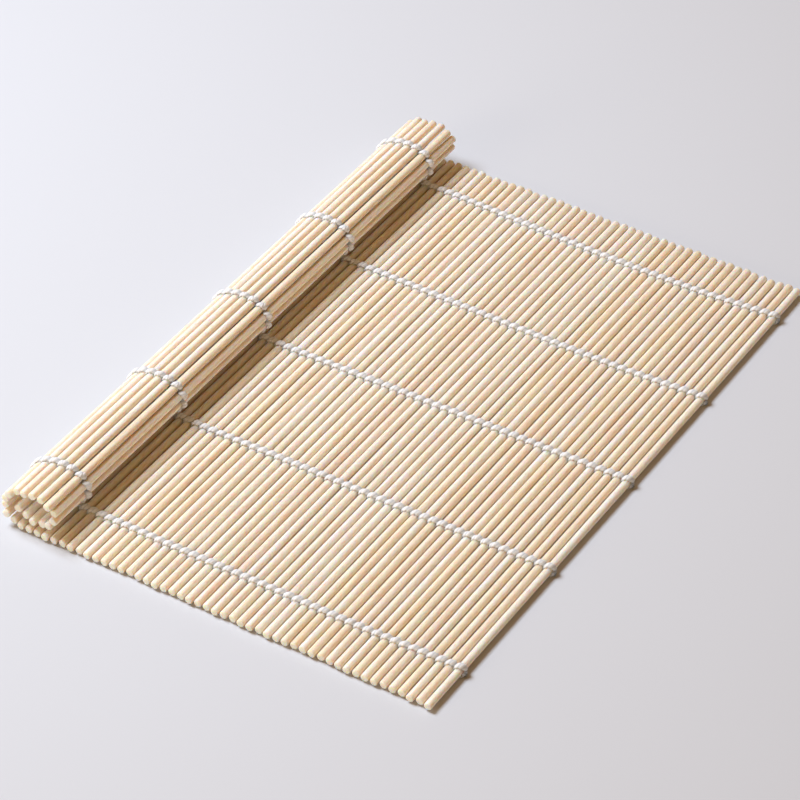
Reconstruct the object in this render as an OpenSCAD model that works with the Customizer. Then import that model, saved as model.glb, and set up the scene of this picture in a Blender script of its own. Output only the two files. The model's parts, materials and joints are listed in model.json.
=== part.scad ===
// Sushi rolling mat: thin round bamboo rods side by side, twined together by
// five doubled cotton cords, lying flat on a table with one end rolled up.
// Millimetres, +Z up. X runs across the rods and Y runs along them.
// The origin is on the table under the middle of the rod named origin_rod.

/* [Rods] */
// Number of rods in the whole mat
rod_count = 65; // [48:1:80]
// Length of a rod, which is the depth of the mat
rod_l = 240; // [180:1:300]
// Diameter of a rod
rod_d = 2.7; // [2:0.1:4]
// Width of the worn edge round a rod's cut end
rod_chamfer = 0.25; // [0.1:0.05:0.5]
// Farthest that a rod stands out of line with its neighbours
rod_shift = 0.5; // [0:0.05:1.5]
// Most that a rod is cut short
rod_short = 0.7; // [0:0.05:2]

/* [Cords] */
// Number of cord rows
row_count = 5; // [3:1:6]
// Distance from the rods' ends to the first cord row
row_margin = 18; // [8:0.5:30]
// Diameter of one cotton strand
cord_d = 0.5; // [0.4:0.05:0.8]
// Free space between a strand and the rods on each side of it
cord_fit = 0.02; // [0.01:0.01:0.1]
// Free space between the two strands where they pass each other
strand_gap = 0.06; // [0.02:0.01:0.12]
// Least free space between the cord turns of two rods that bend
turn_gap = 0.06; // [0.04:0.01:0.2]
// Radius of the wrap in the knot at the end of each row
knot_r = 0.5; // [0.45:0.05:0.8]
// Length of the two cord ends that stick out of a knot
tail_l = 1.7; // [1:0.1:5]

/* [Roll] */
// How far the end is rolled up, from 0 for a flat mat to 1 for the closed roll
roll_up = 1; // [0:0.05:1]

/* [Hidden] */
// Runs of rods along the roll's section, each [number of rods, degrees from rod to rod]:
// up the left side, shoulder, top, right corner, right side, foot, inner end
roll_arcs = [[3, 30], [3, 23], [3, 10], [1, 26], [3, 38], [2, 20], [2, 17]];
// Rod that lies over the origin, counted from the free edge
origin_rod = 24;
// Rods that share one node in the flat part
group_size = ceil(rod_count / 22);
// How far each cord row lies from its even place
row_drift = [-0.7, 1.6, 0, -0.6, 0];
// Angle by which the row of rod ends wanders from rod to rod
wander = 137.5;
// Share of a strand's diameter that its weight on the table flattens
flat_share = 0.1;
// Colours of the rods and of the cords
bamboo = [0.93, 0.83, 0.66];
cotton = [0.93, 0.94, 0.95];
// Slope of the cord ends down to the table
tail_drop = 32;
// Sideways spread of the two cord ends
tail_spread = 22;

rod_r = rod_d / 2;
cord_r = cord_d / 2;
pitch = rod_d + cord_d + 2 * cord_fit;
strand_offset = (cord_d + strand_gap) / 2;
turn_r = sqrt(pow(pitch / 2, 2) + pow(strand_offset, 2));
turn_tilt = atan(strand_offset / (pitch / 2));
// A strand swells a little where it squeezes through between two rods
knuckle_d = cord_d + min(1.5 * cord_fit, strand_gap / 2);
tuck = sqrt(pow(knuckle_d / 2, 2) - pow(cord_r, 2)) / 2;
tuck_angle = tuck / turn_r * 180 / PI;
flat_cut = flat_share * cord_d;
rod_z = turn_r + cord_r - flat_cut;
// Bend above which a straight strand would press into the next rod
free_bend = 2 * acos((1 + (rod_r + cord_r) / (pitch / 2)) / 2);

// Bend at each gap of the rolled part, the first between the flat part and the roll
bends = [for (arc = roll_arcs) for (i = [1:arc[0]]) arc[1] * roll_up];
roll_count = len(bends);
flat_count = rod_count - roll_count;
// The ends of two turns come nearest at the sharpest bend
turn_trim = (turn_gap + cord_r * tan(max(bends))) / 2;
trim_angle = turn_trim / turn_r * 180 / PI;
group_count = ceil(flat_count / group_size);
row_pitch = (rod_l - 2 * row_margin) / (row_count - 1);
row_y = [for (i = [0:row_count - 1])
    (i - (row_count - 1) / 2) * row_pitch + row_drift[i % len(row_drift)]];

// Heading of a rolled rod, 0 flat and towards -X, 90 straight up
function heading(k) = k <= 0 ? 0 : heading(k - 1) + bends[k - 1];
function half_step(k) = [-cos(heading(k)), sin(heading(k))] * pitch / 2;
// Centre [x, z] of rolled rod k, where rod 0 is the last flat one
function centre(k) = k <= 0 ? [rod_x(flat_count - 1), rod_z]
    : centre(k - 1) + half_step(k - 1) + half_step(k);
function rod_x(i) = (origin_rod - i) * pitch;
function bend(k) = k >= 1 && k <= roll_count ? bends[k - 1] : 0;
function two_digits(i) = str(i < 10 ? "0" : "", i);

function flat_name(g) = str("flat_rods_", two_digits(g));
function row_name(r) = str("cord_row_", r);
function roll_rod_name(k) = str("roll_rod_", two_digits(k));
function roll_cord_name(k) = str("roll_cords_", two_digits(k));

$fn = 32;

// One rod along Y with its middle near the origin; i is its place in the mat
module rod(i) {
    length = rod_l - rod_short * (1 + sin(2 * wander * i)) / 2;
    shift = rod_shift * sin(wander * i);
    inner = rod_r - rod_chamfer;
    translate([0, shift + length / 2, 0])
        rotate([90, 0, 0])
            rotate_extrude()
                polygon([
                    [0, 0], [inner, 0], [rod_r, rod_chamfer],
                    [rod_r, length - rod_chamfer], [inner, length], [0, length]
                ]);
}

// Half a turn of one strand over the rod at the origin, cut back at its right and left ends
module over_turn(right, left) {
    rotate([90, 0, turn_tilt])
        rotate([0, 0, right])
            rotate_extrude(angle = 180 - right - left)
                translate([turn_r, 0])
                    circle(d = cord_d);
}

module under_turn(right, left) {
    mirror([0, 0, 1])
        rotate([0, 0, -2 * turn_tilt])
            over_turn(right, left);
}

// Swelling of a strand beside the rod at the origin: left side -1 or right side 1
module knuckle(side, along) {
    translate([side * pitch / 2, along * strand_offset, 0])
        sphere(d = knuckle_d);
}

// Everything below the table surface in the flat part
module table_cut() {
    span = (rod_count + 4) * pitch;
    depth = cord_d;
    translate([rod_x(flat_count + 1), -rod_l / 2, -depth])
        cube([span, rod_l, depth]);
}

// Puts its children on rolled rod k
module on_roll(k) {
    place = centre(k);
    translate([place[0], 0, place[1]])
        rotate([0, heading(k), 0])
            children();
}

// Room that the neighbouring rod k presses into the cord
module rod_press(k) {
    on_roll(k)
        rotate([90, 0, 0])
            cylinder(r = rod_r + cord_fit, h = rod_l, center = true);
}

// One whole strand through the flat part, over every second rod from rod first
module strand(first) {
    for (i = [0:flat_count - 1]) {
        over = (i + first) % 2 == 0;
        left = i == flat_count - 1 ? trim_angle : tuck_angle;
        translate([rod_x(i), 0, rod_z]) {
            if (over) over_turn(tuck_angle, left);
            else under_turn(tuck_angle, left);
            if (i < flat_count - 1) knuckle(-1, over ? -1 : 1);
            if (i == 0) knuckle(1, over ? 1 : -1);
        }
    }
}

// Knot and two cord ends beside the free edge
module edge_knot() {
    knot_x = rod_x(0) + pitch / 2;
    translate([knot_x, 0, rod_z]) {
        for (side = [-1, 1])
            translate([0, side * strand_offset, 0])
                rotate([0, 90 + tail_drop, side * tail_spread])
                    cylinder(d = cord_d, h = tail_l);
        translate([cord_r, 0, 0])
            rotate([0, 90, 0])
                ring();
        translate([2.6 * cord_r, 0, -cord_r / 2])
            rotate([0, 90 + tail_spread, 0])
                ring();
    }
}

// One wrap of the knot
module ring() {
    rotate_extrude()
        translate([knot_r, 0])
            circle(d = cord_d);
}

module flat_rods(g) {
    last = min(g * group_size, flat_count) - 1;
    color(bamboo)
        for (i = [(g - 1) * group_size:last])
            translate([rod_x(i), 0, rod_z])
                rod(i);
}

module cord_row(r) {
    color(cotton)
        translate([0, row_y[r - 1], 0])
            difference() {
                union() {
                    strand(r);
                    strand(r + 1);
                    edge_knot();
                }
                table_cut();
                if (bend(1) > free_bend) rod_press(1);
            }
}

module roll_rod(k) {
    color(bamboo)
        on_roll(k)
            rod(flat_count - 1 + k);
}

// Fold of the doubled cord round the far side of the last rod
module end_fold() {
    for (along = [-1, 1]) knuckle(-1, along);
    translate([-pitch / 2, 0, 0])
        rotate([0, 0, 90])
            rotate_extrude(angle = 180)
                translate([strand_offset, 0])
                    circle(d = cord_d);
}

module roll_cords(k) {
    last = k == roll_count;
    left = last ? tuck_angle : trim_angle;
    color(cotton)
        for (y = row_y)
            translate([0, y, 0])
                difference() {
                    on_roll(k) {
                        over_turn(trim_angle, left);
                        under_turn(trim_angle, left);
                        if (last) end_fold();
                    }
                    if (bend(k) > free_bend) rod_press(k - 1);
                    if (bend(k + 1) > free_bend) rod_press(k + 1);
                }
}

for (g = [1:group_count]) flat_rods(g);
for (r = [1:row_count]) cord_row(r);
for (k = [1:roll_count]) roll_rod(k);
for (k = [1:roll_count]) roll_cords(k);
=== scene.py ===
import json
import math

import bpy
import numpy as np
from mathutils import Matrix, Vector


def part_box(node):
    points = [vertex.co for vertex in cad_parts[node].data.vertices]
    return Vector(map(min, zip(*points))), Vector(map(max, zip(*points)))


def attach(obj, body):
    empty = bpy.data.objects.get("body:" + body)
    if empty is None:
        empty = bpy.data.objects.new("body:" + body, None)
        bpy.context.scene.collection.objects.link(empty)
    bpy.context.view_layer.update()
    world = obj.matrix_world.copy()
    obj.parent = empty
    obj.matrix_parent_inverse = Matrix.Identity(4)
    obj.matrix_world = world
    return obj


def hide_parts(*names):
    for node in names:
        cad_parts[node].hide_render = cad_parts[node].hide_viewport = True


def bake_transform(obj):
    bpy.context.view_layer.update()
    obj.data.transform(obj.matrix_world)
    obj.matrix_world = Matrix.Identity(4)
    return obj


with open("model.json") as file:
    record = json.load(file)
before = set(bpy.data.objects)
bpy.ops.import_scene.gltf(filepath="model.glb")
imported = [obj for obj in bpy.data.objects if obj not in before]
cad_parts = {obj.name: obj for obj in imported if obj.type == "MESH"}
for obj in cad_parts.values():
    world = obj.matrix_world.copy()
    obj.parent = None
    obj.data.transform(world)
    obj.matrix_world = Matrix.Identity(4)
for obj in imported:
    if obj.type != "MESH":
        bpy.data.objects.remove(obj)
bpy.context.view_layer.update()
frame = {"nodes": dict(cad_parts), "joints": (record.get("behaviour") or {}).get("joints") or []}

MM = 0.001

# The camera stands where the photographer stood
CAM_AZIMUTH = 32.236
CAM_ELEVATION = 39.625
CAM_DISTANCE = 1207.25 * MM
CAM_RIGHT = -6.595 * MM
CAM_UP = 2.163 * MM
CAM_LENS = 164.39
SENSOR = 36.0
CLIP_END = 10.0

# Rods
RODS_IN_GROUP = 3
ROD_SIDES = 16
ROD_RINGS = 28
# Width of the worn edge at a rod's end; as shares of it, where the edge bends, and how much narrower
# than the rod it is at the bend and at the rim
ROD_EDGE = 0.28 * MM
EDGE_BEND = 0.35
BEND_SHRINK = 0.28
RIM_SHRINK = 0.85
# How much fuller than its solid a rod is, and how much that differs from rod to rod
ROD_FULLER = 0.02
ROD_UNEVEN = 0.02
# Swellings along a rod: share of the radius, angle from end to end, farthest random shift
ROD_SWELLINGS = ((0.012, 9, 6), (0.008, 23, 5))
OUT_OF_ROUND = 0.02
# Sideways bow of a rod and the share of it that is S-shaped, then the same for the upright bow
ROD_BOW = 0.11 * MM
S_BOW = 0.6
ROD_BOW_UP = 0.5 * ROD_BOW
S_BOW_UP = 0.5
# Slant of a cut end, how far along the rod it fades, and the most that a flat rod's end stands back
ROD_END_TILT = 0.09
END_REACH = 3 * ROD_EDGE
ROD_END_SPREAD = 0.8 * MM
# Distance in the grain pattern from one rod to the next
GRAIN_STEP = 7.3

# Cords
TURN_STEPS = 18
CORD_SIDES = 12
TINY = 1e-9
# Thickness and width of a strand on a rod, distance between the two strands of a row, and the
# thickness and width where a strand is squeezed between two rods
CORD_THICK = 1.2 * MM
CORD_WIDE = 2.45 * MM
CORD_APART = 1.2 * MM
SQUEEZED_THICK = 0.54 * MM
SQUEEZED_WIDE = 1.15 * MM
# How full a strand is in the open beside the free edge
EDGE_FULLNESS = 0.35
# Share of its half thickness by which a strand's widest part sinks towards the rod
CORD_SINK = 0.5
# Length in which the two plies turn once, depth of the groove between them, and the share of a
# groove at which a strand has its plain size
PLY_PITCH = 3.0 * MM
PLY_DEPTH = 0.2
PLY_LEVEL = 0.35
CORD_UNEVEN = 0.05
# Free space between two layers of the roll, and the least cosine at which a rod lies on a strand
LAYER_GAP = 0.03 * MM
LAYER_COSINE = 0.7
# How far a row strays, radians of its two waves per rod, and the share of the short wave
ROW_WANDER = 0.2 * MM
LONG_WAVE = 0.11
SHORT_WAVE = 0.37
SHORT_SHARE = 0.5
# How far the rows bend aside at the free edge, and over how many rods
EDGE_WANDER = 1.2 * MM
EDGE_RODS = 14
# How far each row bows along the rods, near row first; the rod where it bows most, how many rods
# from there it crosses its even place, and the angle of the wave at which it stays
ROW_BOWS = (0.2 * MM, 0.6 * MM, 0.6 * MM, -0.9 * MM, -2.0 * MM)
BOW_ROD = 14
BOW_QUARTER = 20
BOW_LAST = 115
# Height of the table top; the cords go no lower and the floor lies just under it
TABLE = 0.0

# Routes of the two cord ends through the knot, in millimetres from the gap beside the first rod
KNOT_DOWN = [(0, 0.57, 0.1), (-0.12, 0.5, -0.4), (-0.1, 0.1, -0.85), (0.12, -0.35, -1.0),
             (0.3, -0.45, -0.65), (0.15, -0.3, -0.3), (0.05, 0.2, -0.35), (0.12, 0.5, -0.75),
             (0.3, 0.35, -1.1), (0.45, 0.2, -1.35)]
KNOT_UP = [(0, -0.57, -0.1), (-0.02, -0.52, 0.05), (0.1, -0.15, 0.05), (0.25, 0.25, -0.2),
           (0.3, 0.4, -0.6), (0.1, 0.1, -0.95), (0.15, -0.3, -1.15), (0.4, -0.5, -1.4)]
KNOT_STEPS = 5
KNOT_THICK = 0.65 * MM
FRAYED_END = (1.05, 1.15, 1.3)
# painted shade along the knot, from its start to its ends
KNOT_SHADE = (0.5, 1)
# Degrees of the last rod's turns that lead into a fold, how far past the last gap it reaches, its
# steps, and how sharply it is squeezed
FOLD_DEGREES = range(90, 171, 10)
FOLD_REACH = 0.5 * MM
FOLD_STEPS = 2
FOLD_SQUEEZE = 0.7

# First seeds of the random values, and the farthest random shift of a wave in radians
ROW_SEED = 700
ROD_SEED = 4000
FLAT_CORD_SEED = 100
KNOT_SEED = 500
ROLL_CORD_SEED = 1000
FOLD_SEED = 3000
SHIFT = 3

# Colours as they look in plain light
CREAM = (255, 252, 246)
STRAW = (254, 246, 231)
ROSE = (253, 240, 229)
TAN = (248, 227, 201)
FIBRE = (223, 182, 139)
# painted shade: the warm brown that the rods' sides take in the gaps between rods
GAP_SHADE_COLOUR = (212, 172, 114)
END_GRAIN = (253, 246, 228)
COTTON = (248, 252, 254)
# painted shade in the grooves between the plies, also the colour of the cotton's random dark tufts
CREASE_SHADE_AND_TUFTS = (182, 194, 204)
# painted shade where a strand is squeezed between rods, round the last rod and on the knots
CORD_SHADE_COLOUR = (124, 140, 156)
FLOOR = (213, 219, 226)

# Grain of the bamboo: repeats per metre across and along a rod, detail and roughness
BROAD = (420, 9, 3, 0.5)
FIBRES = (1500, 40, 5, 0.65)
FINE = (2100, 450, 4, 0.7)
STAIN = (60, 22, 4, 0.6)
# Roughness of smooth bamboo and what its fibres add; share of the fine grain in the relief, and the
# relief's strength and depth
ROUGH_LEAST = 0.40
ROUGH_FIBRES = 0.25
FINE_RELIEF = 0.5
BAMBOO_RELIEF = (0.35, 0.06 * MM)
# Painted shade on the rods' sides in the gaps between them: where a rod turns to its neighbour, as
# heights of its normal, and how much of the painted gap shade is there in the flat part; the roll has a
# share of that
GAP_SHADE_ABOVE = (0.28, -0.04)
GAP_SHADE_BELOW = (-0.9, -0.6)
GAP_SHADE_SHARE = 0.6
GAP_SHADE_ON_ROLL = 0.4
# End grain: how far a face turns to the rod's end, repeats per metre, edge and share of the dots
END_FACE = (0.72, 0.9)
DOTS = (4200, 300)
DOT_EDGE = (0.34, 0.16)
DOT_SHARE = 0.7
# Fluff of the cotton: repeats per millimetre along it, spread round it, detail and roughness, edge
# of its dark tufts, and the relief's strength and depth; how sharply the painted shade in the grooves
# deepens
FLUFF_ALONG = 3.0
FLUFF_ROUND = 3.5
FLUFF = (6, 0.7)
TUFT_EDGE = (0.62, 0.36)
COTTON_RELIEF = (0.6, 0.12 * MM)
GROOVE_POWER = 3.0

FLOOR_SIZE = 3.0
FLOOR_DROP = 0.02 * MM
# Direction, distance, size in metres, power in watts and colour of each soft lamp
KEY = ((-0.522, -0.092, 0.848), 1.15, 0.45, 13.3, (0.95, 1.01, 1.12))
FILL = ((-0.35, -1.0, 0.25), 1.8, 0.8, 8.1, (1.0, 0.85, 0.66))
SKY = (1.0, 0.56, 0.21, 1.0)
SKY_STRENGTH = 0.28


def linear(rgb):
    """A colour written as 0 to 255 in the units of a shader socket."""
    def one(c):
        c = c / 255
        return c / 12.92 if c <= 0.04045 else ((c + 0.055) / 1.055) ** 2.4
    return tuple(one(c) for c in rgb) + (1.0,)


def random_values(seed, count):
    return np.random.default_rng(seed).uniform(-1, 1, count)


# Where the rods, bends and cord rows are, read from the frame

def nodes_named(start):
    return sorted(n for n in frame["nodes"] if n.startswith(start))


def rod_places():
    """One dict per rod from the free edge inwards: x, z, near and far end, radius, node and body."""
    rods = []
    for name in flat_names:
        low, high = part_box(name)
        radius = (high.z - low.z) / 2
        for i in range(RODS_IN_GROUP):
            share = i / (RODS_IN_GROUP - 1)
            x = (high.x - radius) * (1 - share) + (low.x + radius) * share
            rods.append(dict(x=x, z=(low.z + high.z) / 2, near=low.y, far=high.y,
                             radius=radius, node=name, body="mat", rolled=False))
    for name in roll_names:
        low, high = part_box(name)
        rods.append(dict(x=(low.x + high.x) / 2, z=(low.z + high.z) / 2, near=low.y, far=high.y,
                         radius=(high.x - low.x) / 2, node=name,
                         body="roll_" + name[-2:], rolled=True))
    return rods


def add_headings(rods):
    """Gives each rod, in (x, z), its directions back towards the free edge and up, and the middles
    of the gaps on its right and left. Returns the pitch."""
    pivots = [Vector((j["pos_m"][0], j["pos_m"][2])) for j in frame["joints"]]
    pitch = rods[0]["x"] - rods[1]["x"]
    rolled = 0
    for rod in rods:
        centre = Vector((rod["x"], rod["z"]))
        if rod["rolled"]:
            back = (pivots[rolled] - centre).normalized()
            rolled += 1
        else:
            back = Vector((1.0, 0.0))
        rod["back"] = back
        rod["up"] = Vector((-back.y, back.x))
        rod["right_gap"] = centre + back * pitch / 2
        rod["left_gap"] = centre - back * pitch / 2
    return pitch


flat_names = nodes_named("flat_rods_")
roll_names = nodes_named("roll_rod_")
row_names = nodes_named("cord_row_")
rods = rod_places()
pitch = add_headings(rods)
flat_count = sum(not rod["rolled"] for rod in rods)
row_ys = [(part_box(n)[0].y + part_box(n)[1].y) / 2 for n in row_names]
rod_radius = rods[0]["radius"]


def cord_room(index, over):
    """Thickness that a strand has over or under a rod before the next layer of rods presses on it."""
    rod = rods[index]
    place = Vector((rod["x"], rod["z"]))
    outward = rod["up"] * (1 if over else -1)
    room = CORD_THICK
    for j, other in enumerate(rods):
        way = Vector((other["x"], other["z"])) - place
        if abs(j - index) > 1 and way.dot(outward) > LAYER_COSINE * way.length:
            room = min(room, (way.length - 2 * rod_radius) / 2 - LAYER_GAP)
    return room


room_over = [cord_room(i, True) for i in range(len(rods))]
room_under = [cord_room(i, False) for i in range(len(rods))]


# Meshes

def new_mesh(name, verts, faces, values, material):
    """A smooth mesh object with one float attribute per name in values."""
    mesh = bpy.data.meshes.new(name)
    mesh.from_pydata(verts.tolist(), [], faces)
    for key, data in values.items():
        attribute = mesh.attributes.new(key, "FLOAT", "POINT")
        attribute.data.foreach_set("value", np.asarray(data, np.float32))
    mesh.shade_smooth()
    mesh.materials.append(material)
    mesh.validate()
    mesh.update()
    piece = bpy.data.objects.new(name, mesh)
    bpy.context.scene.collection.objects.link(piece)
    return piece


def tube_faces(rings, sides, first=0):
    """Quads round a tube with a flat cap at each end."""
    faces = []
    for r in range(rings - 1):
        for s in range(sides):
            a = first + r * sides + s
            b = first + r * sides + (s + 1) % sides
            faces.append((a, b, b + sides, a + sides))
    faces.append(tuple(first + s for s in reversed(range(sides))))
    faces.append(tuple(first + (rings - 1) * sides + s for s in range(sides)))
    return faces


class Batch:
    """Collects tubes into one mesh."""

    def __init__(self):
        self.verts = []
        self.faces = []
        self.values = {}
        self.count = 0

    def add(self, verts, rings, sides, values):
        self.faces += tube_faces(rings, sides, self.count)
        self.verts.append(verts)
        for key, data in values.items():
            self.values.setdefault(key, []).append(data)
        self.count += len(verts)

    def finish(self, name, material):
        values = {k: np.concatenate(v) for k, v in self.values.items()}
        return new_mesh(name, np.concatenate(self.verts), self.faces, values, material)


def gap_shade(index):
    """Share of the painted gap shade on a rod's sides; the first rod has an open side."""
    if index == 0:
        return 0.0
    return GAP_SHADE_ON_ROLL if rods[index]["rolled"] else 1.0


def rod_tube(batch, index):
    """One rod: a slightly bowed, slightly uneven bar with soft, crookedly cut ends."""
    rod = rods[index]
    rnd = random_values(ROD_SEED + index, 16)
    spread = 0.0 if rod["rolled"] else ROD_END_SPREAD
    near = rod["near"] + spread * abs(rnd[0])
    far = rod["far"] - spread * abs(rnd[1])
    along = np.concatenate([
        [0, ROD_EDGE * EDGE_BEND, ROD_EDGE],
        np.linspace(ROD_EDGE, far - near - ROD_EDGE, ROD_RINGS)[1:-1],
        [far - near - ROD_EDGE, far - near - ROD_EDGE * EDGE_BEND, far - near],
    ])
    share = along / (far - near)
    swelling = 1
    for (depth, turn, shift), r in zip(ROD_SWELLINGS, rnd[3:5]):
        swelling = swelling + depth * np.sin(turn * share + shift * r)
    shrink = np.zeros_like(along)
    shrink[[0, -1]] = RIM_SHRINK * ROD_EDGE
    shrink[[1, -2]] = BEND_SHRINK * ROD_EDGE
    radius = rod["radius"] * (1 + ROD_FULLER + ROD_UNEVEN * rnd[2]) * swelling - shrink
    arc = np.sin(math.pi * share)
    s_curve = np.sin(2 * math.pi * share + SHIFT * rnd[7])
    bow_x = ROD_BOW * (rnd[5] * arc + S_BOW * rnd[6] * s_curve)
    bow_z = ROD_BOW_UP * (rnd[8] * arc + S_BOW_UP * rnd[9] * np.sin(3 * math.pi * share))
    angle = np.arange(ROD_SIDES) * 2 * math.pi / ROD_SIDES + rnd[10]
    oval = 1 + OUT_OF_ROUND * np.cos(2 * angle + 2 * SHIFT * rnd[11])
    cos, sin = np.cos(angle) * oval, np.sin(angle) * oval
    x = rod["x"] + bow_x[:, None] + radius[:, None] * cos
    z = rod["z"] + bow_z[:, None] + radius[:, None] * sin
    y = near + along[:, None] + np.zeros(ROD_SIDES)
    near_weight = np.exp(-along / END_REACH)[:, None]
    far_weight = np.exp(-(along[-1] - along) / END_REACH)[:, None]
    y = y + ROD_END_TILT * radius[:, None] * (near_weight * rnd[12] * cos + far_weight * rnd[13] * sin)
    verts = np.stack([x, y, z], -1)[:, ::-1].reshape(-1, 3)
    same = {
        "tone": (rnd[14] + 1) / 2,
        "rose": (rnd[15] + 1) / 2,
        "seed": GRAIN_STEP * index,
        "up_x": rod["up"].x,
        "up_z": rod["up"].y,
        # share of the painted gap shade on this rod's sides
        "beside": gap_shade(index),
    }
    batch.add(verts, len(along), ROD_SIDES, {k: np.full(len(verts), v) for k, v in same.items()})


def row_wander(row, place):
    """How far a cord row strays along the rods at a place in the mat."""
    rnd = random_values(ROW_SEED + row, 4)
    stray = (rnd[0] * math.sin(LONG_WAVE * place + SHIFT * rnd[1])
             + SHORT_SHARE * rnd[2] * math.sin(SHORT_WAVE * place + SHIFT * rnd[3]))
    turn = min(90 * (place - BOW_ROD) / BOW_QUARTER, BOW_LAST)
    bow = ROW_BOWS[row % len(ROW_BOWS)] * math.cos(math.radians(turn))
    return ROW_WANDER * stray + bow + EDGE_WANDER * max(0.0, 1 - place / EDGE_RODS) ** 2


def strand_point(index, over, degrees, row):
    """Middle of a strand on a rod: 0 degrees is in the gap on its right, 90 on its crest, and 180 in
    the gap on its left."""
    rod = rods[index]
    a = math.radians(degrees)
    thick = (room_over if over else room_under)[index]
    turn_radius = rod_radius + thick / 2
    across = math.cos(a) * pitch / 2
    height = turn_radius * math.sin(a) * (1 if over else -1)
    aside = math.cos(a) * CORD_APART / 2 * (1 if over else -1)
    x = rod["x"] + rod["back"].x * across + rod["up"].x * height
    z = rod["z"] + rod["back"].y * across + rod["up"].y * height
    return (x, row_ys[row] + row_wander(row, index + degrees / 180) + aside, z)


def squeeze(index, degrees):
    """0 in a gap, 1 on the crest of a rod; nothing squeezes the strands beside the free edge."""
    if index == 0 and degrees < 90:
        return EDGE_FULLNESS + (1 - EDGE_FULLNESS) * math.sin(math.radians(degrees))
    return math.sin(math.radians(degrees))


def half_widths(fullness, thick=CORD_THICK):
    """Half width along the rods and half thickness of a strand."""
    return ((SQUEEZED_WIDE + (CORD_WIDE - SQUEEZED_WIDE) * fullness) / 2,
            (SQUEEZED_THICK + (thick - SQUEEZED_THICK) * fullness) / 2)


def strand_route(start, end, over_at_zero, row):
    """Points, fullness, thickness, outward side and places; place k + 0.5 is the crest of rod k."""
    places = np.linspace(start, end, int(round((end - start) * TURN_STEPS)) + 1)
    points, fullness, thick, outward = [], [], [], []
    last_rod = len(rods) - 1
    for place in places:
        index = min(int(math.floor(place + TINY)), last_rod)
        if place >= end - TINY and abs(place - round(place)) < TINY:
            index = int(round(place)) - 1
        degrees = (place - index) * 180
        over = (index % 2 == 0) == over_at_zero
        points.append(strand_point(index, over, degrees, row))
        fullness.append(squeeze(index, degrees))
        thick.append((room_over if over else room_under)[index])
        outward.append(1 if over else -1)
    return np.array(points), np.array(fullness), np.array(thick), np.array(outward), places


def unit_tangents(points):
    tangent = np.gradient(points, axis=0)
    return tangent / np.linalg.norm(tangent, axis=1)[:, None]


def free_directions(points):
    """Two directions across a tube, carried along without twist."""
    tangent = unit_tangents(points)
    side = np.zeros_like(points)
    carried = np.array((0.0, 1.0, 0.0))
    for i, t in enumerate(tangent):
        carried = carried - t * carried.dot(t)
        carried /= np.linalg.norm(carried)
        side[i] = carried
    return side, np.cross(side, tangent)


def level_directions(points):
    """Two directions across a tube, the first kept along the rods."""
    tangent = unit_tangents(points)
    side = np.array([0.0, 1.0, 0.0]) - tangent * tangent[:, 1:2]
    side /= np.linalg.norm(side, axis=1)[:, None]
    return side, np.cross(side, tangent)


def strand_tube(batch, points, half_side, half_up, place, cord_shade, seed, sink=None):
    """A two-ply strand round the points; place is the length along the cord that the plies turn with.

    sink moves the widest part down, or up where it is negative; without it the strand is round and free.
    """
    side, up = free_directions(points) if sink is None else level_directions(points)
    angle = np.arange(CORD_SIDES) * 2 * math.pi / CORD_SIDES
    ply = 2 * (angle[None, :] - 2 * math.pi * (place / PLY_PITCH)[:, None])
    groove = 0.5 - 0.5 * np.cos(ply)
    grow = 1 + PLY_DEPTH * (PLY_LEVEL - groove)
    rough = np.random.default_rng(seed).uniform(-1, 1, (len(points), CORD_SIDES))
    grow = grow * (1 + CORD_UNEVEN * rough)
    a = (half_side[:, None] * np.cos(angle) * grow)[..., None] * side[:, None, :]
    height = np.sin(angle)[None, :]
    if sink is not None:
        height = height - sink[:, None] * (1 - np.abs(height))
    b = (half_up[:, None] * height * grow)[..., None] * up[:, None, :]
    verts = (points[:, None, :] + a + b).reshape(-1, 3)
    # the share of painted shade on each ring goes into the last attribute
    batch.add(verts, len(points), CORD_SIDES, {
        "groove": groove.reshape(-1),
        "along": np.repeat(place / MM, CORD_SIDES),
        "round": np.tile(angle, len(points)),
        "cord_shade": np.repeat(cord_shade, CORD_SIDES),
    })


def cord_stretch(batch, start, end, over_at_zero, row, seed):
    """Part of one strand between two places, at its full twined shape."""
    points, fullness, thick, outward, places = strand_route(start, end, over_at_zero, row)
    half_side, half_up = half_widths(fullness, thick)
    place = places * math.pi * (rod_radius + CORD_THICK / 2)
    sink = CORD_SINK * fullness * outward
    # painted shade that grows where the strand is squeezed between two rods
    strand_tube(batch, points, half_side, half_up, place, (1 - fullness) ** 2, seed, sink)


def rest_on_table(piece):
    """Flattens what would press into the table."""
    for v in piece.data.vertices:
        v.co.z = max(v.co.z, TABLE)


def smooth_route(points, steps):
    """A smooth curve through the points."""
    p = np.array(points, float)
    p = np.vstack([2 * p[0] - p[1], p, 2 * p[-1] - p[-2]])
    out = []
    for i in range(1, len(p) - 2):
        for t in np.linspace(0, 1, steps, endpoint=False):
            a, b, c, d = p[i - 1], p[i], p[i + 1], p[i + 2]
            out.append(0.5 * (2 * b + (c - a) * t + (2 * a - 5 * b + 4 * c - d) * t ** 2
                              + (3 * b - a - 3 * c + d) * t ** 3))
    out.append(p[-2])
    return np.array(out)


def length_along(points):
    """Length of a route from its start to each of its points."""
    return np.concatenate([[0], np.cumsum(np.linalg.norm(np.diff(points, axis=0), axis=1))])


# Materials

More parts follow.
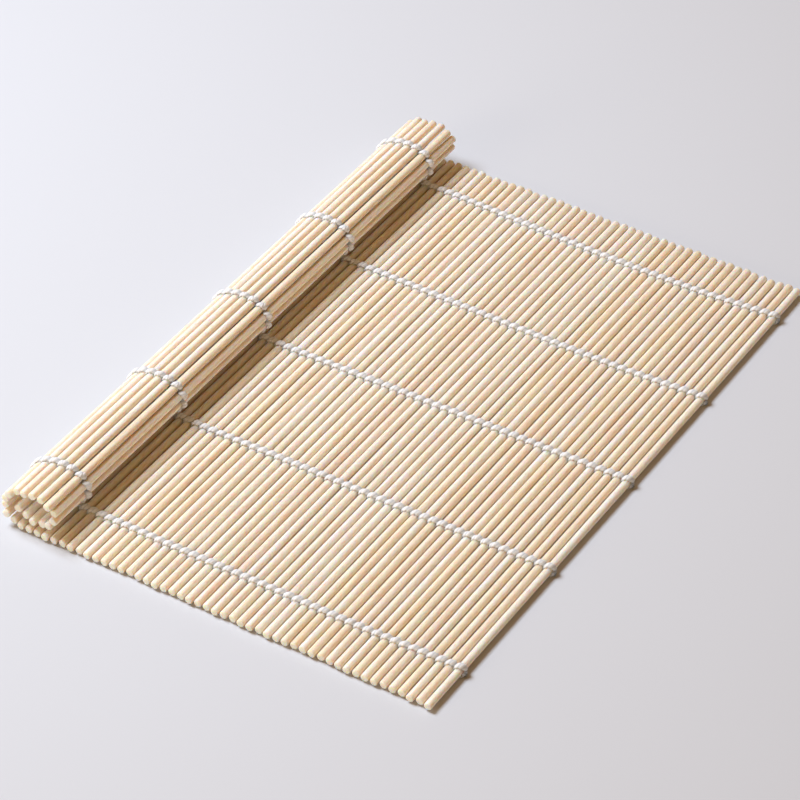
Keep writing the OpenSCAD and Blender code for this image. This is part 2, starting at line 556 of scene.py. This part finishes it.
class Shader:
    """A new material and short ways to add nodes to it."""

    def __init__(self, name):
        self.material = bpy.data.materials.new(name)
        self.material.use_nodes = True
        self.tree = self.material.node_tree
        self.surface = self.tree.nodes["Principled BSDF"]

    def add(self, kind):
        return self.tree.nodes.new("ShaderNode" + kind)

    def put(self, socket, value):
        """Sets a socket to a plain value, or links another node's output to it."""
        if isinstance(value, (int, float, tuple)):
            socket.default_value = value
        else:
            self.tree.links.new(value, socket)

    def put_all(self, node, values):
        for key, value in values.items():
            self.put(node.inputs[key], value)

    def attribute(self, key):
        node = self.add("Attribute")
        node.attribute_name = key
        return node.outputs["Fac"]

    def math(self, operation, *values):
        node = self.add("Math")
        node.operation = operation
        self.put_all(node, dict(enumerate(values)))
        return node.outputs[0]

    def times(self, first, second):
        return self.math("MULTIPLY", first, second)

    def vector_math(self, operation, first, second):
        node = self.add("VectorMath")
        node.operation = operation
        self.put_all(node, {0: first, 1: second})
        return node.outputs[0]

    def mix(self, factor, first, second):
        """A mix of two colours."""
        node = self.add("Mix")
        node.data_type = "RGBA"
        self.put_all(node, {0: factor, 6: first, 7: second})
        return node.outputs[2]

    def ramp(self, value, low, high):
        """0 up to low, 1 from high."""
        node = self.add("MapRange")
        self.put_all(node, {"From Min": low, "From Max": high, "Value": value})
        return node.outputs["Result"]

    def noise(self, vector, detail, roughness):
        node = self.add("TexNoise")
        self.put_all(node, {"Scale": 1.0, "Detail": detail, "Roughness": roughness, "Vector": vector})
        return node.outputs["Fac"]

    def bump(self, height, strength, distance):
        node = self.add("Bump")
        self.put_all(node, {"Strength": strength, "Distance": distance, "Height": height})
        return node.outputs[0]


def bamboo_material():
    """Pale split bamboo: long fibres, rods of slightly different tone, painted warm shade on the sides
    that turn into the gaps, dotted end grain.
    """
    shader = Shader("bamboo")
    coordinates = shader.add("TexCoord")
    seed, tone, rose, up_x, up_z, beside = (
        shader.attribute(key) for key in ("seed", "tone", "rose", "up_x", "up_z", "beside"))
    shift = shader.add("CombineXYZ")
    shader.put_all(shift, {0: seed, 1: seed, 2: seed})

    def stretched(across, along):
        place = shader.vector_math("MULTIPLY", coordinates.outputs["Object"], (across, along, across))
        return shader.vector_math("ADD", place, shift.outputs[0])

    broad, fibres, fine, stain = (
        shader.noise(stretched(across, along), detail, roughness)
        for across, along, detail, roughness in (BROAD, FIBRES, FINE, STAIN))

    base = shader.mix(shader.ramp(tone, 0.0, 0.8), linear(CREAM), linear(STRAW))
    # Each layer has a pattern, where it starts and is full, its share and its colour
    for pattern, start, full, share, colour in (
            (rose, 0.45, 1.05, 1.0, ROSE), (tone, 0.75, 1.3, 1.0, TAN),
            (broad, 0.42, 0.72, 0.45, TAN), (fibres, 0.50, 0.66, 0.36, FIBRE),
            (fine, 0.46, 0.64, 0.34, FIBRE), (stain, 0.62, 0.8, 0.3, TAN)):
        base = shader.mix(shader.times(shader.ramp(pattern, start, full), share), base, linear(colour))

    normal = shader.add("SeparateXYZ")
    shader.put(normal.inputs[0], coordinates.outputs["Normal"])
    # Painted shade: the sides of a rod that turn into the gap beside its neighbour take the gap shade
    # colour
    height = shader.math("ADD", shader.times(normal.outputs["X"], up_x),
                         shader.times(normal.outputs["Z"], up_z))
    side = shader.times(shader.ramp(height, *GAP_SHADE_ABOVE), shader.ramp(height, *GAP_SHADE_BELOW))
    base = shader.mix(shader.times(shader.times(side, beside), GAP_SHADE_SHARE), base, linear(GAP_SHADE_COLOUR))

    dots = shader.add("TexVoronoi")
    shader.put_all(dots, {"Scale": 1.0, "Vector": stretched(*DOTS)})
    dot = shader.ramp(dots.outputs["Distance"], *DOT_EDGE)
    cut = shader.mix(shader.times(dot, DOT_SHARE), linear(END_GRAIN), linear(FIBRE))
    end = shader.ramp(shader.math("ABSOLUTE", normal.outputs["Y"]), *END_FACE)
    shader.put_all(shader.surface, {
        "Base Color": shader.mix(end, base, cut),
        "Roughness": shader.math("MULTIPLY_ADD", fibres, ROUGH_FIBRES, ROUGH_LEAST),
        "Specular IOR Level": 0.35,
        "Subsurface Weight": 1.0,
        "Subsurface Radius": (1.0, 0.7, 0.42),
        "Subsurface Scale": 2.2 * MM,
        "Normal": shader.bump(shader.math("ADD", fibres, shader.times(fine, FINE_RELIEF)), *BAMBOO_RELIEF),
    })
    return shader.material


def cotton_material():
    """White two-ply cotton string: painted shade in the grooves between the plies and where a strand is
    squeezed between rods, with fine fibres along them.
    """
    shader = Shader("cotton")
    groove, along, around, cord_shade = (
        shader.attribute(key) for key in ("groove", "along", "round", "cord_shade"))
    place = shader.add("CombineXYZ")
    shader.put_all(place, {
        "X": shader.times(along, FLUFF_ALONG),
        "Y": shader.times(shader.math("SINE", around), FLUFF_ROUND),
        "Z": shader.times(shader.math("COSINE", around), FLUFF_ROUND),
    })
    fluff = shader.noise(place.outputs[0], *FLUFF)
    colour = linear(COTTON)
    # Each layer has a pattern, its share and its colour: painted shade in the ply grooves, random dark
    # tufts, and painted shade where a strand is squeezed and on the knots
    for pattern, share, layer in (
            (shader.math("POWER", groove, GROOVE_POWER), 0.6, CREASE_SHADE_AND_TUFTS),
            (shader.ramp(fluff, *TUFT_EDGE), 0.22, CREASE_SHADE_AND_TUFTS),
            (cord_shade, 0.9, CORD_SHADE_COLOUR)):
        colour = shader.mix(shader.times(pattern, share), colour, linear(layer))
    shader.put_all(shader.surface, {
        "Base Color": colour,
        "Roughness": 0.9,
        "Specular IOR Level": 0.2,
        "Sheen Weight": 0.25,
        "Subsurface Weight": 0.4,
        "Subsurface Radius": (1.0, 1.0, 1.0),
        "Subsurface Scale": 0.5 * MM,
        "Normal": shader.bump(fluff, *COTTON_RELIEF),
    })
    return shader.material


def floor_material():
    shader = Shader("floor")
    shader.put_all(shader.surface, {
        "Base Color": linear(FLOOR), "Roughness": 0.7, "Specular IOR Level": 0.2})
    return shader.material


# Pieces

def make_rods(material):
    """A detailed rod in place of each plain one, grouped as the nodes are."""
    for name in flat_names + roll_names:
        batch = Batch()
        members = [i for i, rod in enumerate(rods) if rod["node"] == name]
        for index in members:
            rod_tube(batch, index)
        piece = batch.finish(name + "_bamboo", material)
        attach(piece, rods[members[0]]["body"])
        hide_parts(name)


def make_flat_cords(material):
    """The five cords through the flat part, up to the crest of its last rod."""
    for row, name in enumerate(row_names):
        batch = Batch()
        for strand in range(2):
            over_at_zero = (row + strand) % 2 == 0
            seed = FLAT_CORD_SEED + 10 * row + strand
            cord_stretch(batch, 0, flat_count - 0.5, over_at_zero, row, seed)
        knot_tubes(batch, row, 1 if row % 2 == 0 else -1)
        piece = batch.finish(name + "_cotton", material)
        rest_on_table(piece)
        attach(piece, "mat")
        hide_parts(name)


def knot_tubes(batch, row, side):
    """A small knot beside the first rod with two short ends; side 1 or -1 is where the upper strand
    comes down."""
    gap = rods[0]["right_gap"]
    y_row = row_ys[row] + row_wander(row, 0)
    for k, route in enumerate((KNOT_DOWN, KNOT_UP)):
        route = np.array(route) * (1, side, 1)
        points = smooth_route(route, KNOT_STEPS) * MM + np.array([gap.x, y_row, gap.y])
        half = np.full(len(points), KNOT_THICK / 2)
        half[-3:] *= FRAYED_END
        # painted shade that deepens along the knot towards its ends
        cord_shade = np.linspace(*KNOT_SHADE, len(points))
        strand_tube(batch, points, half, half, length_along(points), cord_shade, KNOT_SEED + row + 20 * k)


def body_of(index):
    return rods[index]["body"]


def make_roll_cords(material):
    """One piece per bend, from the crest of one rod to the crest of the next."""
    for index in range(flat_count, len(rods)):
        batch = Batch()
        for row in range(len(row_ys)):
            for strand in range(2):
                over_at_zero = (row + strand) % 2 == 0
                seed = ROLL_CORD_SEED + 20 * index + 2 * row + strand
                cord_stretch(batch, index - 0.5, index + 0.5, over_at_zero, row, seed)
        tag = rods[index]["node"][-2:]
        piece = batch.finish("roll_cords_" + tag + "_cotton", material)
        rest_on_table(piece)
        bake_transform(piece)
        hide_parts("roll_cords_" + tag)


def make_end_folds(material):
    """Where each doubled cord goes round the last rod."""
    batch = Batch()
    last = len(rods) - 1
    rod = rods[last]
    for row in range(len(row_ys)):
        over, under = [[strand_point(last, up, a, row) for a in FOLD_DEGREES] for up in (True, False)]
        gap = rod["left_gap"] - rod["back"] * FOLD_REACH
        middle = [(gap.x, row_ys[row] + row_wander(row, last + 1), gap.y)]
        points = smooth_route(over + middle + under[::-1], FOLD_STEPS)
        full = 1 - np.sin(np.linspace(0, math.pi, len(points))) ** FOLD_SQUEEZE
        half_side, half_up = half_widths(full)
        # painted shade where the fold is squeezed round the last rod
        strand_tube(batch, points, half_side, half_up, length_along(points), 1 - full, FOLD_SEED + row)
    piece = batch.finish("end_folds_cotton", material)
    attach(piece, body_of(last))


# Stage, light and camera

def make_floor():
    bpy.ops.mesh.primitive_plane_add(size=FLOOR_SIZE, location=(0, 0, TABLE - FLOOR_DROP))
    floor = bpy.context.object
    floor.name = "floor"
    floor.data.materials.append(floor_material())


def make_lamp(name, direction, distance, size, power, colour):
    lamp = bpy.data.lights.new(name, "AREA")
    lamp.energy = power
    lamp.size = size
    lamp.color = colour
    holder = bpy.data.objects.new(name, lamp)
    direction = Vector(direction).normalized()
    holder.location = direction * distance
    holder.rotation_euler = direction.to_track_quat("Z", "Y").to_euler()
    bpy.context.scene.collection.objects.link(holder)


def make_light():
    """A soft lamp above on the left, a weak one in front for the rods' ends, and a plain warm sky."""
    make_lamp("key", *KEY)
    make_lamp("fill", *FILL)
    world = bpy.data.worlds.new("sky")
    world.use_nodes = True
    background = world.node_tree.nodes["Background"]
    background.inputs["Color"].default_value = SKY
    background.inputs["Strength"].default_value = SKY_STRENGTH
    bpy.context.scene.world = world


def make_camera():
    a, e = math.radians(CAM_AZIMUTH), math.radians(CAM_ELEVATION)
    back = Vector((math.sin(a) * math.cos(e), -math.cos(a) * math.cos(e), math.sin(e)))
    right = Vector((math.cos(a), math.sin(a), 0))
    up = back.cross(right)
    data = bpy.data.cameras.new("camera")
    data.lens = CAM_LENS
    data.sensor_width = SENSOR
    data.clip_end = CLIP_END
    camera = bpy.data.objects.new("camera", data)
    place = back * CAM_DISTANCE + right * CAM_RIGHT + up * CAM_UP
    camera.matrix_world = Matrix.Translation(place) @ Matrix((right, up, back)).transposed().to_4x4()
    bpy.context.scene.collection.objects.link(camera)
    bpy.context.scene.camera = camera


def main():
    make_camera()
    make_floor()
    make_light()
    bamboo = bamboo_material()
    cotton = cotton_material()
    make_rods(bamboo)
    make_flat_cords(cotton)
    make_roll_cords(cotton)
    make_end_folds(cotton)
    bpy.context.scene.view_settings.view_transform = "Standard"


main()
